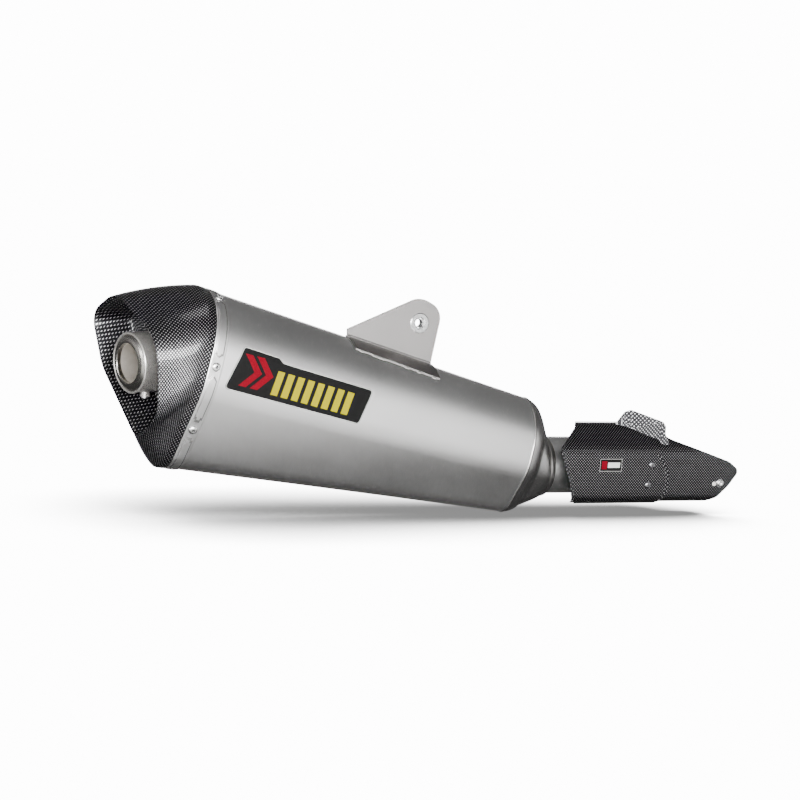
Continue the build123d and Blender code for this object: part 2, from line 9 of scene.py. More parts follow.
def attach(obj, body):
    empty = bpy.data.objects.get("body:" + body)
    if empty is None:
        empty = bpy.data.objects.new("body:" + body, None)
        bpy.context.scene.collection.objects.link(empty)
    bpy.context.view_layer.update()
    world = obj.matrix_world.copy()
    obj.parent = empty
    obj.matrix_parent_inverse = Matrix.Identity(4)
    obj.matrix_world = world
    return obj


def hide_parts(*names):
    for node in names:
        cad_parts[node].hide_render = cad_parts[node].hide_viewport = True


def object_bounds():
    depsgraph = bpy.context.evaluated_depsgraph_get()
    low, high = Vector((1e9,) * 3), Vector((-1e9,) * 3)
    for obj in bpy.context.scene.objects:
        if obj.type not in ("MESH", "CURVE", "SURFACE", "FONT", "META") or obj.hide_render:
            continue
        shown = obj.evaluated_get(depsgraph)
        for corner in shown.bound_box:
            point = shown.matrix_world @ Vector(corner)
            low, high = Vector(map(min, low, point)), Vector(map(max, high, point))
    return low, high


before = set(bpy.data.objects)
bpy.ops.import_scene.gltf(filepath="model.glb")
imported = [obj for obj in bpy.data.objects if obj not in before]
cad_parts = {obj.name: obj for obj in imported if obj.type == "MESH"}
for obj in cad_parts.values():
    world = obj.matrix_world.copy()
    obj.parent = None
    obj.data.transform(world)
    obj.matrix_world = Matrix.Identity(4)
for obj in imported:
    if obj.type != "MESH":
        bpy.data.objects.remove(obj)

cad_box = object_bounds()
MM = 0.001

# ------------------------------------------------------------------ the object's own frame
# Origin at the inlet mouth, +X out of it, +Z up, -Y outboard. Lengths below are millimetres.
PITCH = radians(12.3)
SEAM = (-182.0, 0.0, 12.0)
SLEEVE_LENGTH = 385.0
SLEEVE_WALL = 1.2
BAND_WIDTH = 14.0
BAND_THICKNESS = 1.0
CAP_SKIRT = 9.0
PIPE_RADIUS = 30.25
CAP_WALL = 2.0
CAP_BULGE = 3.0              # the carbon cap swells by this much midway to its rim
COLLAR_X = -152.0            # where the front cap meets the collar weld
RECESS_DEPTH = 38.0

# Corners and radii of the body's section: top, outer shoulder, outer lower, bottom, inner
# lower, inner shoulder; outboard and up.
FRONT = [(-4, 69), (45, 36), (45.5, -14), (9, -80), (-40, -18), (-43, 36)]
FRONT_R = [34, 52, 48, 22, 34, 40]
REAR = [(-6, 92.5), (63.5, 66), (64.5, -10), (15, -122.5), (-60, -10), (-63, 62)]
REAR_R = [58, 58, 58, 24, 55, 44]
RIM = [(-19, 71.5), (60, 32), (59, -46), (18, -76), (-47, -7), (-66, 46)]
RIM_R = [38, 44, 34, 16, 55, 20]

RIM_YAW, RIM_DIP = radians(12.5), radians(4.0)
OUTWARD = np.array([-cos(RIM_DIP) * cos(RIM_YAW), -cos(RIM_DIP) * sin(RIM_YAW), -sin(RIM_DIP)])
RIM_ACROSS = np.array([sin(RIM_YAW), -cos(RIM_YAW), 0.0])
RIM_UP = np.cross(OUTWARD, RIM_ACROSS)
RIM_CENTRE = np.array([-619.1, 0.0, 101.7])
OUTLET_IN_RIM = np.array([5.7, 1.6])

BACKWARD = np.array([-cos(PITCH), 0.0, sin(PITCH)])
SECTION_UP = np.array([sin(PITCH), 0.0, cos(PITCH)])
OUTBOARD = np.array([0.0, -1.0, 0.0])


def rounded(corners, radii, grow=0.0, arc_steps=14, side_steps=8):
    """Points round a clockwise outline with an arc at each corner, grown outward by grow."""
    pts = np.array(corners, float)
    n = len(pts)
    ahead = np.roll(pts, -1, axis=0) - pts
    ahead /= np.linalg.norm(ahead, axis=1)[:, None]
    normal = np.stack([-ahead[:, 1], ahead[:, 0]], axis=1)
    arcs = []
    for i in range(n):
        before, after = normal[i - 1], normal[i]
        corner = pts[i] + grow * (before + after) / (1 + before @ after)
        turn = atan2(before[0] * after[1] - before[1] * after[0], before @ after)
        bulge = -1 if turn > 0 else 1          # a hollow corner curves the other way
        r = radii[i] + bulge * grow
        start = corner - ahead[i - 1] * r * tan(abs(turn) / 2)
        centre = start - bulge * r * before
        spoke = start - centre
        arc = []
        for k in range(arc_steps + 1):
            c, d = cos(turn * k / arc_steps), sin(turn * k / arc_steps)
            spun = [spoke[0] * c - spoke[1] * d, spoke[0] * d + spoke[1] * c]
            arc.append(centre + np.array(spun))
        arcs.append(arc)
    out = []
    for i in range(n):
        out.extend(arcs[i][:-1])
        a, b = arcs[i][-1], arcs[(i + 1) % n][0]
        out.extend(a + (b - a) * k / side_steps for k in range(side_steps))
    return np.array(out)


def mixed(a, b, t):
    return [tuple(np.array(p) * (1 - t) + np.array(q) * t) for p, q in zip(a, b)]


def body_section(s, grow=0.0, **steps):
    """Section outline of the body s mm behind the front seam, in section coordinates."""
    t = s / SLEEVE_LENGTH
    radii = [p * (1 - t) + q * t for p, q in zip(FRONT_R, REAR_R)]
    return rounded(mixed(FRONT, REAR, t), radii, grow, **steps)


def on_body(s, flat):
    """Section coordinates (outboard, up) at station s to points in the frame."""
    flat = np.atleast_2d(flat)
    return (np.array(SEAM) + BACKWARD * s + flat[:, :1] * OUTBOARD + flat[:, 1:2] * SECTION_UP)


def on_rim(depth, flat):
    """Rim plane coordinates (outboard, up), depth behind the rim, to points in the frame."""
    flat = np.atleast_2d(flat)
    return RIM_CENTRE - OUTWARD * depth + flat[:, :1] * RIM_ACROSS + flat[:, 1:2] * RIM_UP


# ------------------------------------------------------------------ mesh helpers
def mesh_object(name, verts, faces, uvs=None, smooth_angle=40):
    """Mesh from millimetre points; uvs is one (u, v) in millimetres for each face corner."""
    mesh = bpy.data.meshes.new(name)
    mesh.from_pydata([tuple(v) for v in np.array(verts, float) * MM], [], faces)
    if uvs is not None:
        layer = mesh.uv_layers.new(name="Weave")
        layer.data.foreach_set("uv", (np.array(uvs, float) * MM).ravel())
    bm = bmesh.new()
    bm.from_mesh(mesh)
    bmesh.ops.recalc_face_normals(bm, faces=bm.faces)
    bm.to_mesh(mesh)
    bm.free()
    mesh.shade_smooth()
    mesh.set_sharp_from_angle(angle=radians(smooth_angle))
    obj = bpy.data.objects.new(name, mesh)
    bpy.context.scene.collection.objects.link(obj)
    return obj


def skin(name, rings, closed_along=False, zero=0, smooth_angle=40, even=False):
    """Quads between successive closed rings of equal length.

    The weave's u is the arc length round each ring from point zero, and v the way from ring to
    ring, measured at each point or, if even, as its mean."""
    rings = [np.array(r, float) for r in rings]
    n, m = len(rings[0]), len(rings)
    ways = []
    for ring in rings:
        steps = np.linalg.norm(np.roll(ring, -1, axis=0) - ring, axis=1)
        ways.append(np.r_[0, np.cumsum(np.roll(steps, -zero))])
    along = [np.zeros(n)]
    for j in range(m):
        step = np.linalg.norm(rings[(j + 1) % m] - rings[j], axis=1)
        along.append(along[-1] + (step.mean() if even else step))
    faces, uvs = [], []
    for j in range(m if closed_along else m - 1):
        k = (j + 1) % m
        for i in range(n):
            i2, p = (i + 1) % n, (i - zero) % n
            faces.append((j * n + i, j * n + i2, k * n + i2, k * n + i))
            back = 0 if p <= n // 2 else 1     # past the middle the length is counted from the end
            u = [way[q] - back * way[n] for way, q in
                 ((ways[j], p), (ways[j], p + 1), (ways[k], p + 1), (ways[k], p))]
            v = (along[j][i], along[j][i2], along[j + 1][i2], along[j + 1][i])
            uvs += list(zip(u, v))
    return mesh_object(name, np.vstack(rings), faces, uvs, smooth_angle)


def lathe(name, profile, origin, axis, steps=48, smooth_angle=35, closed=True):
    """Surface of revolution: profile is (radius, distance along axis)."""
    axis = np.array(axis, float) / np.linalg.norm(axis)
    side = np.cross(axis, [0.0, 0.0, 1.0])
    if np.linalg.norm(side) < 0.1:
        side = np.cross(axis, [1.0, 0.0, 0.0])
    side /= np.linalg.norm(side)
    other = np.cross(axis, side)
    angles = np.array([2 * pi * k / steps for k in range(steps)])[:, None]
    spokes = side * np.cos(angles) + other * np.sin(angles)
    rings = [np.array(origin) + axis * a + r * spokes for r, a in profile]
    return skin(name, rings, closed_along=closed, smooth_angle=smooth_angle)


def join(name, parts):
    """One object from several; each keeps its own material."""
    bpy.ops.object.select_all(action="DESELECT")
    for o in parts:
        o.select_set(True)
    bpy.context.view_layer.objects.active = parts[0]
    bpy.ops.object.join()
    parts[0].name = name
    parts[0].data.name = name
    return parts[0]


def weave_copy(name, node, weave_of):
    """Copy of a CAD node's mesh, with the weave's coordinates from weave_of(face's points)."""
    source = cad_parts[node]
    mesh = source.data.copy()
    mesh.name = name
    mesh.transform(source.matrix_world)
    while mesh.uv_layers:
        mesh.uv_layers.remove(mesh.uv_layers[0])
    layer = mesh.uv_layers.new(name="Weave")
    for face in mesh.polygons:
        points = np.array([mesh.vertices[v].co for v in face.vertices]) / MM
        for loop, uv in zip(face.loop_indices, weave_of(points)):
            layer.data[loop].uv = (uv[0] * MM, uv[1] * MM)
    obj = bpy.data.objects.new(name, mesh)
    bpy.context.scene.collection.objects.link(obj)
    return obj


# ------------------------------------------------------------------ camera, floor and light
def look_from(azimuth, elevation, roll, distance, target):
    """Camera matrix looking at target; azimuth 0 looks along +Y, roll turns it to the left."""
    a, e, r = radians(azimuth), radians(elevation), radians(roll)
    back = Vector((sin(a) * cos(e), -cos(a) * cos(e), sin(e)))
    right = Vector((cos(a), sin(a), 0))
    up = back.cross(right)
    right, up = cos(r) * right + sin(r) * up, cos(r) * up - sin(r) * right
    place = Vector(target) + back * distance
    rows = [(right[i], up[i], back[i], place[i]) for i in range(3)]
    return Matrix(rows + [(0, 0, 0, 1)])


camera_data = bpy.data.cameras.new("Camera")
camera_data.lens = 130
camera_data.sensor_width = 36
camera_data.clip_end = 100
camera = bpy.data.objects.new("Camera", camera_data)
camera.matrix_world = look_from(-25, 6, 3.28, 3.0, (-0.317, 0, 0.068))
bpy.context.scene.collection.objects.link(camera)
bpy.context.scene.camera = camera

floor_z = cad_box[0][2] - 0.0005
floor_half = 12.0
floor_mesh = bpy.data.meshes.new("Floor")
floor_corners = [(x * floor_half, y * floor_half, floor_z) for x, y in ((-1, -1), (1, -1), (1, 1), (-1, 1))]
floor_mesh.from_pydata(floor_corners, [], [(0, 1, 2, 3)])
floor = bpy.data.objects.new("Floor", floor_mesh)
bpy.context.scene.collection.objects.link(floor)


def area_light(name, place, aim, size, power):
    data = bpy.data.lights.new(name, "AREA")
    data.shape = "RECTANGLE"
    data.size, data.size_y = size
    data.energy = power
    light = bpy.data.objects.new(name, data)
    light.location = place
    light.rotation_euler = (Vector(aim) - Vector(place)).to_track_quat("-Z", "Y").to_euler()
    bpy.context.scene.collection.objects.link(light)
    return light


centre = (-0.3, 0.0, 0.06)
area_light("KeyFront", (-1.1, -2.6, 0.55), centre, (3.0, 0.9), 290)
area_light("OutletSide", (-2.4, -0.35, 0.45), (-0.62, 0, 0.10), (0.7, 0.7), 24)
area_light("RimRight", (1.9, -1.4, 0.5), centre, (1.0, 1.0), 7)
area_light("Overhead", (-0.3, -0.3, 2.6), centre, (1.2, 0.8), 9)
area_light("BackFill", (0.1, 2.4, 0.25), centre, (2.2, 0.8), 45).visible_camera = False

# The camera sees white all round; the part reflects a bright front and a dark back and top.
world = bpy.data.worlds.new("Studio")
bpy.context.scene.world = world
world.use_nodes = True
wn, wl = world.node_tree.nodes, world.node_tree.links
wn.clear()
world_out = wn.new("ShaderNodeOutputWorld")
background = wn.new("ShaderNodeBackground")
background.inputs["Strength"].default_value = 1.0
seen = wn.new("ShaderNodeBackground")
seen.inputs["Color"].default_value = (1, 1, 1, 1)
seen.inputs["Strength"].default_value = 14.0
choose = wn.new("ShaderNodeMixShader")
path = wn.new("ShaderNodeLightPath")
where = wn.new("ShaderNodeTexCoord")
side = wn.new("ShaderNodeVectorMath")
side.operation = "DOT_PRODUCT"
side.inputs[1].default_value = (0.45, 0.75, 0.95)
fall = wn.new("ShaderNodeMapRange")
fall.interpolation_type = "SMOOTHSTEP"
for socket, number in (("From Min", -0.45), ("From Max", 0.62), ("To Min", 1.2), ("To Max", 0.15)):
    fall.inputs[socket].default_value = number
wl.new(where.outputs["Generated"], side.inputs[0])
wl.new(side.outputs["Value"], fall.inputs["Value"])
wl.new(fall.outputs[0], background.inputs["Color"])
wl.new(path.outputs["Is Camera Ray"], choose.inputs["Fac"])
wl.new(background.outputs[0], choose.inputs[1])
wl.new(seen.outputs[0], choose.inputs[2])
wl.new(choose.outputs[0], world_out.inputs["Surface"])


# ------------------------------------------------------------------ materials
class Nodes:
    """Short notation for building a node material."""

    def __init__(self, name):
        self.material = bpy.data.materials.new(name)
        self.material.use_nodes = True
        self.tree = self.material.node_tree
        self.shader = self.tree.nodes["Principled BSDF"]

    def new(self, kind, **settings):
        node = self.tree.nodes.new("ShaderNode" + kind)
        for key, value in settings.items():
            setattr(node, key, value)
        return node

    def link(self, a, b):
        self.tree.links.new(a, b)

    def math(self, operation, a, b=None):
        node = self.new("Math", operation=operation)
        for socket, value in zip(node.inputs, (a, b)):
            if value is None:
                continue
            if isinstance(value, (int, float)):
                socket.default_value = value
            else:
                self.link(value, socket)
        return node.outputs[0]

    def mix(self, factor, a, b):
        node = self.new("Mix", data_type="RGBA")
        for socket, value in ((node.inputs[0], factor), (node.inputs[6], a), (node.inputs[7], b)):
            if isinstance(value, (int, float)):
                socket.default_value = value
            elif isinstance(value, tuple):
                socket.default_value = (*value, 1)
            else:
                self.link(value, socket)
        return node.outputs[2]

    def noise(self, scale, vector, detail=4):
        node = self.new("TexNoise")
        node.inputs["Scale"].default_value = scale
        node.inputs["Detail"].default_value = detail
        node.inputs["Roughness"].default_value = 0.55
        self.link(vector, node.inputs["Vector"])
        return node.outputs["Fac"]

    def scaled(self, vector, scale):
        node = self.new("Mapping")
        node.inputs["Scale"].default_value = scale
        self.link(vector, node.inputs["Vector"])
        return node.outputs[0]

    def place(self):
        return self.new("TexCoord").outputs["Object"]

    def weave_uv(self):
        return self.new("UVMap", uv_map="Weave").outputs[0]

    def ramp(self, value, low, high, out_low=0.0, out_high=1.0):
        node = self.new("MapRange")
        self.link(value, node.inputs["Value"])
        ends = zip(("From Min", "From Max", "To Min", "To Max"), (low, high, out_low, out_high))
        for key, number in ends:
            node.inputs[key].default_value = number
        return node.outputs[0]

    def bump(self, height, strength, distance):
        node = self.new("Bump")
        node.inputs["Strength"].default_value = strength
        node.inputs["Distance"].default_value = distance
        self.link(height, node.inputs["Height"])
        self.link(node.outputs[0], self.shader.inputs["Normal"])

    def set(self, **values):
        for key, value in values.items():
            socket = self.shader.inputs[key.replace("_", " ")]
            if isinstance(value, tuple):
                socket.default_value = (*value, 1)
            elif isinstance(value, (int, float)):
                socket.default_value = value
            else:
                self.link(value, socket)
        return self.material


def brushed_metal(name, color, roughness, grain_axis=(1, 1, 1), grain=0.12, stain=0.06, grain_scale=900,
                  metallic=1.0):
    """Metal with a fine directional grain and faint cloudy variation."""
    m = Nodes(name)
    place = m.place()
    grain_noise = m.noise(grain_scale, m.scaled(place, grain_axis), detail=3)
    cloud = m.noise(9, place, detail=5)
    dark = tuple(c * (1 - stain) for c in color)
    tint = m.mix(cloud, dark, color)
    streak = m.mix(m.ramp(grain_noise, 0.35, 0.65, 0.0, grain), tint, tuple(c * 0.8 for c in color))
    rough = m.math("ADD", m.ramp(grain_noise, 0.3, 0.7, roughness - 0.05, roughness + 0.05),
                   m.ramp(cloud, 0.3, 0.7, -0.02, 0.03))
    m.bump(grain_noise, 0.12, 0.00005)
    return m.set(Base_Color=streak, Metallic=metallic, Roughness=rough)


def carbon(name, cell, bright, coat, dot, stretch=1.0):
    """Clear-coated plain weave with painted sheen: every other cell is a tow painted bright for its glint,
    its size set by dot, the rest near black.
    """
    m = Nodes(name)
    turned = m.scaled(m.weave_uv(), (1000 / cell, 1000 / (cell * stretch), 1))
    split = m.new("SeparateXYZ")
    m.link(turned, split.inputs[0])
    x, y = split.outputs["X"], split.outputs["Y"]
    odd = m.math("MODULO", m.math("ADD", m.math("FLOOR", x), m.math("FLOOR", y)), 2.0)
    odd = m.math("ABSOLUTE", odd)
    fx, fy = m.math("FRACT", x), m.math("FRACT", y)
    arch_x = m.math("SINE", m.math("MULTIPLY", fx, pi))
    arch_y = m.math("SINE", m.math("MULTIPLY", fy, pi))
    pillow = m.math("MULTIPLY", arch_x, arch_y)
    tow_noise = m.noise(2.2, turned, detail=2)
    edge = m.ramp(pillow, *dot)
    light = m.math("MULTIPLY", m.math("MULTIPLY", odd, edge), m.ramp(tow_noise, 0.3, 0.7, 0.75, 1.15))
    # painted sheen: tows of one direction are coloured bright and the others near black, for how they catch
    # the light
    color = m.mix(light, (0.006, 0.006, 0.007), (bright, bright, bright * 1.01))
    m.bump(pillow, 0.25, 0.00012)
    return m.set(Base_Color=color, Metallic=0.9, Roughness=0.36, Coat_Weight=coat, Coat_Roughness=0.05)


titanium = brushed_metal("Titanium", (0.70, 0.695, 0.69), 0.33, (1, 6, 6), grain=0.10)
titanium_band = brushed_metal("TitaniumBand", (0.66, 0.655, 0.65), 0.36, (4, 4, 4), grain=0.06)
# darker copy of the band's metal: painted shade for the pads' pressed edges
groove_shade_metal = brushed_metal("GroovePaintedShade", (0.30, 0.295, 0.29), 0.40, (4, 4, 4), grain=0.06)
bracket_metal = brushed_metal("BracketSheet", (0.25, 0.24, 0.235), 0.38, (1, 1, 5), grain=0.18)
stainless = brushed_metal("Stainless", (0.60, 0.60, 0.60), 0.36, (1, 5, 5), grain=0.12)
polished = brushed_metal("Polished", (0.66, 0.64, 0.61), 0.28, (4, 1, 1), grain=0.15, stain=0.15,
                         metallic=0.85)
bore_metal = brushed_metal("BoreMetal", (0.62, 0.58, 0.52), 0.30, (4, 1, 1), grain=0.2, stain=0.3,
                           metallic=0.7)
flange_metal = brushed_metal("FlangeMetal", (0.40, 0.385, 0.36), 0.22, (4, 4, 4), grain=0.2, stain=0.3)
pipe_metal = brushed_metal("PipeMetal", (0.72, 0.72, 0.71), 0.34, (1, 5, 5), grain=0.10)
# painted shade: a darker copy of the titanium for the front cap
front_cap_shaded_metal = brushed_metal("FrontCapShadedTitanium", (0.40, 0.395, 0.39), 0.32, (1, 6, 6), grain=0.10)
weld_metal = brushed_metal("WeldMetal", (0.42, 0.41, 0.40), 0.34, (1, 1, 1), grain=0.3, stain=0.3,
                           grain_scale=300)
zinc = brushed_metal("Fastener", (0.60, 0.60, 0.60), 0.24, (1, 1, 1), grain=0.15, grain_scale=500)
rivet_metal = brushed_metal("RivetMetal", (0.78, 0.78, 0.77), 0.22, (1, 1, 1), grain=0.1,
                            grain_scale=500)
# bright is the painted sheen of the tows; the wing's copy has bigger cells and brighter painted sheen for
# its bolder highlights
carbon_cap = carbon("CarbonCap", cell=1.95, bright=0.55, coat=0.3, dot=(0.45, 0.95))
carbon_recess = carbon("CarbonRecess", cell=2.0, bright=0.55, coat=0.25, dot=(0.45, 0.95), stretch=1.8)
carbon_shield = carbon("CarbonShield", cell=1.6, bright=0.42, coat=0.35, dot=(0.50, 1.05))
carbon_wing = carbon("CarbonWing", cell=2.2, bright=0.6, coat=0.25, dot=(0.60, 0.95))
dark_rivet = brushed_metal("DarkRivet", (0.22, 0.22, 0.23), 0.25, (1, 1, 1), grain=0.2,
                           grain_scale=500)
dark_steel = brushed_metal("DarkSteel", (0.10, 0.10, 0.10), 0.45, (1, 1, 1), grain=0.2,
                           grain_scale=500)


def pale_floor():
    """Floor with painted shade: it glows clean white to the camera with a painted contact shadow, and the
    part mirrors it bright in front and dark close by.
    """
    m = Nodes("FloorPaint")
    tone = m.mix(m.noise(1.5, m.place()), (0.98, 0.98, 0.98), (1.0, 1.0, 1.0))
    # painted shadow: the camera sees the floor glow clean white, dimmed by ambient occlusion where the part
    # is close above the floor
    near = m.new("AmbientOcclusion", samples=24)
    near.inputs["Distance"].default_value = 0.20
    glow_with_painted_shadow = m.new("Emission")
    painted_shadow_factor = m.math("POWER", m.ramp(near.outputs["AO"], 0.40, 0.93), 3.0)
    m.link(m.ramp(painted_shadow_factor, 0.0, 1.0, 0.3, 14.0), glow_with_painted_shadow.inputs["Strength"])
    m.link(tone, glow_with_painted_shadow.inputs["Color"])
    choice = m.new("MixShader")
    m.link(m.new("LightPath").outputs["Is Camera Ray"], choice.inputs[0])
    m.link(m.shader.outputs[0], choice.inputs[1])
    m.link(glow_with_painted_shadow.outputs[0], choice.inputs[2])
    m.link(choice.outputs[0], m.tree.nodes["Material Output"].inputs["Surface"])
    # painted shade for reflections: the floor is coloured dark close by the part and bright far in front of
    # it, which the part mirrors
    spot = m.new("SeparateXYZ")
    m.link(m.place(), spot.inputs[0])
    # far is the painted shade's mask, 0 close by the part and 1 far in front
    far = m.ramp(spot.outputs["Y"], -0.08, -0.19)
    return m.set(Base_Color=m.mix(far, (0.03, 0.03, 0.03), tone), Roughness=0.6)


def wool():
    m = Nodes("PackingWool")
    strands = m.noise(350, m.scaled(m.place(), (1, 3, 3)), detail=6)
    m.bump(strands, 0.8, 0.001)
    return m.set(Base_Color=m.mix(strands, (0.55, 0.47, 0.30), (0.85, 0.80, 0.65)), Roughness=0.95)


def foil(name, color):
    m = Nodes(name)
    grain = m.noise(600, m.place(), detail=2)
    m.bump(grain, 0.05, 0.00003)
    return m.set(Base_Color=m.mix(grain, tuple(c * 0.85 for c in color), color), Roughness=0.5,
                 Specular_IOR_Level=0.04)


packing_wool = wool()
label_black = foil("LabelBlack", (0.006, 0.006, 0.006))
label_pale = foil("LabelPale", (0.55, 0.55, 0.53))
label_red = foil("LabelRed", (0.12, 0.0, 0.006))
label_yellow = foil("LabelYellow", (0.26, 0.225, 0.0))
floor.data.materials.append(pale_floor())

NODE_MATERIALS = {
    "outer_sleeve": titanium, "front_cap": front_cap_shaded_metal, "seam_weld": weld_metal, "link_pipe": pipe_metal,
    "collar_weld": weld_metal, "end_band": titanium_band, "band_rivets": rivet_metal,
    "end_cap_shell": carbon_cap, "recess_liner": carbon_recess, "outlet_tube": polished,
    "screw_boss": polished,
    "damper_flange": flange_metal, "damper_tube": bore_metal, "damper_end_ring": stainless,
    "damper_screw": zinc, "rear_bulkhead": stainless,
    "front_bulkhead": stainless, "perforated_core": stainless, "acoustic_packing": packing_wool,
    "hanger_bracket": bracket_metal, "bracket_bush": zinc, "bracket_welds": weld_metal,
    "shield_rear_panel": carbon_shield, "shield_nose_panel": carbon_shield,
    "shield_standoff_front": stainless, "shield_standoff_rear": stainless, "shield_rivets": rivet_metal,
    "nose_rivet": label_pale, "nose_screw": zinc, "nose_washer": zinc, "nose_flange_nut": zinc,
    "pipe_clamp": stainless,
    "clamp_bolt": zinc, "clamp_nut": zinc, "label_plate_large": label_black,
    "label_plate_small": label_black,
}
for node_name, node_material in NODE_MATERIALS.items():
    node_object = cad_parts[node_name]
    node_object.data.materials.clear()
    node_object.data.materials.append(node_material)


def dress(obj, material, body, slot, *nodes):
    """Gives a piece its material and body, and hides the CAD nodes it stands for."""
    if material is not None:
        obj.data.materials.clear()
        obj.data.materials.append(material)
    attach(obj, body)
    if nodes:
        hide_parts(*nodes)
    return obj


# ------------------------------------------------------------------ body pieces
def make_sleeve():
    stations = np.linspace(0, SLEEVE_LENGTH - 2, 12)
    outer = [on_body(s, body_section(s)) for s in stations]
    inner = [on_body(s, body_section(s, -SLEEVE_WALL)) for s in stations[::-1]]
    return dress(skin("Sleeve", outer + inner, closed_along=True), titanium, "silencer", "titanium",
                 "outer_sleeve")


def collar_ring(x, radius):
    """Near circle round the pipe, cornered like the body's section."""
    normals = [122, 60, 0, -32, -142, -180, -238]
    corners = []
    for before, after in zip(normals, normals[1:]):
        middle = radians((before + after) / 2)
        reach = radius / cos(radians(before - after) / 2)
        corners.append((reach * cos(middle), reach * sin(middle)))
    flat = rounded(corners, [0.96 * radius] * 6)
    return np.stack([np.full(len(flat), x), -flat[:, 0], flat[:, 1]], axis=1)


def make_front_cap():
    """Rounded shoulder, then a swelling cone down to the collar weld."""
    metal = 1.5
    way = np.array([0, 2, 4, 6, 8, 9.8, 11.5, 13, 14.5])
    inset = np.array([0, 0.25, 0.8, 1.5, 2.4, 3.4, 4.6, 5.95, 7.5])
    outer = [on_body(-w, body_section(-w, -g)) for w, g in zip(way, inset)]
    inner = [on_body(-w, body_section(-w, -g - metal)) for w, g in zip(way, inset)]
    collar = collar_ring(COLLAR_X, PIPE_RADIUS + 2.6)
    throat = collar_ring(COLLAR_X, PIPE_RADIUS + 1.1)
    last = len(way) - 1          # the shoulder's last ring, where the cone starts
    for t in np.linspace(0, 1, 9)[1:]:
        swell = 1.1 * sin(pi * t) * t
        lift = collar - collar.mean(axis=0)
        lift /= np.linalg.norm(lift, axis=1)[:, None]
        outer.append(outer[last] * (1 - t) + collar * t + swell * lift)
        inner.append(inner[last] * (1 - t) + throat * t + swell * lift)
    cap = skin("FrontCap", outer + inner[::-1], closed_along=True)
    return dress(cap, front_cap_shaded_metal, "silencer", "titanium", "front_cap")


def make_seam_weld():
    rows = [(0.1, -0.3), (0.1, 0.1), (0.5, 0.5), (1.4, 0.75), (2.3, 0.5), (2.7, 0.1), (2.7, -0.3)]
    rings = [on_body(s, body_section(s, grow)) for s, grow in rows]
    weld = skin("SeamWeld", rings, closed_along=True, smooth_angle=80)
    return dress(weld, weld_metal, "silencer", "weld", "seam_weld")


def make_collar_weld():
    r, x = PIPE_RADIUS, COLLAR_X
    profile = [(r + 0.1, x + 0.2), (r + 3.2, x + 0.2), (r + 3.3, x + 1.6), (r + 2.7, x + 3.6),
               (r + 1.5, x + 5.5), (r + 0.1, x + 7)]
    weld = lathe("CollarWeld", profile, (0, 0, 0), (1, 0, 0), steps=96, smooth_angle=80)
    return dress(weld, weld_metal, "silencer", "weld", "collar_weld")


def make_end_band():
    """Band with a shallow pressed pad between each two rivets, its ends pointed."""
    arc, side, rows = 36, 22, 25
    steps = dict(arc_steps=arc, side_steps=side)
    first = SLEEVE_LENGTH - BAND_WIDTH
    middle = body_section(first + BAND_WIDTH / 2, BAND_THICKNESS, **steps)
    length = np.linalg.norm(np.roll(middle, -1, axis=0) - middle, axis=1)
    way = np.r_[0, np.cumsum(length)]
    total = way[-1]
    rivets = [way[i * (arc + side) + arc + side // 2] for i in range(6)]
    gaps = [np.abs((way[:-1] - r + total / 2) % total - total / 2) for r in rivets]
    to_rivet = np.min(gaps, axis=0)
    outer, inner, on_pad = [], [], []
    for across in np.linspace(-BAND_WIDTH / 2, BAND_WIDTH / 2, rows):
        s = first + BAND_WIDTH / 2 + across
        base, more = (body_section(s, BAND_THICKNESS - 0.35 + k, **steps) for k in (0, 1))
        inside = np.minimum(4.6 - abs(across), (to_rivet - 9.5 - abs(across) * 0.9) / 1.4)
        pad = 0.5 * np.clip(inside / 0.7, 0, 1)
        on_pad.append(pad)
        edge = BAND_WIDTH / 2 - abs(across)
        height = pad - 0.3 * max(0.0, 1 - edge / 0.5)
        outer.append(on_body(s, base + height[:, None] * (more - base)))
    for across in (BAND_WIDTH / 2, -BAND_WIDTH / 2):
        s = first + BAND_WIDTH / 2 + across
        inner.append(on_body(s, body_section(s, 0.06, **steps)))
    band = skin("EndBand", outer + inner, closed_along=True, smooth_angle=50)
    dress(band, titanium_band, "silencer", "band", "end_band")
    # painted shade: faces on the pads' steep edges get the darker copy of the band's metal
    band.data.materials.append(groove_shade_metal)
    n = len(outer[0])
    groove_step = 0.12           # a face that climbs more than this is a pad's edge
    for j in range(rows - 1):
        for i in range(n):
            heights = [on_pad[j + a][(i + b) % n] for a in (0, 1) for b in (0, 1)]
            if max(heights) - min(heights) > groove_step:
                band.data.polygons[j * n + i].material_index = 1
    return band


CAP_STEPS = dict(arc_steps=20, side_steps=14)
CAP_ZERO = 3 * CAP_STEPS["arc_steps"] + 2 * CAP_STEPS["side_steps"] + CAP_STEPS["side_steps"] // 2


def rim_ring(depth, grow):
    return on_rim(depth, rounded(RIM, RIM_R, grow, **CAP_STEPS))


def skirt_ring(s, grow):
    return on_body(s, body_section(s, grow, **CAP_STEPS))


